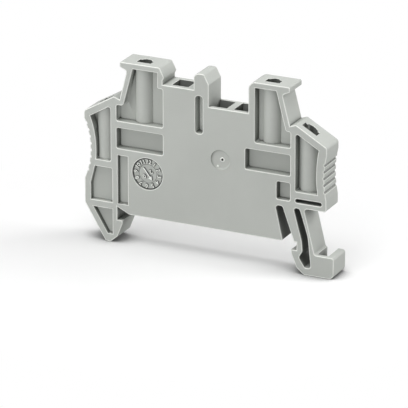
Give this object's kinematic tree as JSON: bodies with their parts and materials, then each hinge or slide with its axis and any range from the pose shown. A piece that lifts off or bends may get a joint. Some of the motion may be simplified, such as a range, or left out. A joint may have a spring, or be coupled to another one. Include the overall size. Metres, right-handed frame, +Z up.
{
  "type": "din rail end stop",
  "caption": "Thin moulded end stop that clips onto a 35 mm top-hat rail, with a fixed hook, a springy latch foot, ribbed faces and finger grips.",
  "frame": {"origin": "on the rail's upper plane, above the rail's centre line, halfway through the stop's thickness", "axes": "+X across the rail towards the springy foot, +Y along the rail away from the marked face, +Z up from the rail"},
  "size_m": [0.0489, 0.0052, 0.0345],
  "materials": {
    "grey_plastic": "fine matt moulded light grey polyamide"
  },
  "bodies": {
    "root": {"end_stop_body": "grey_plastic"}
  },
  "joints": []
}
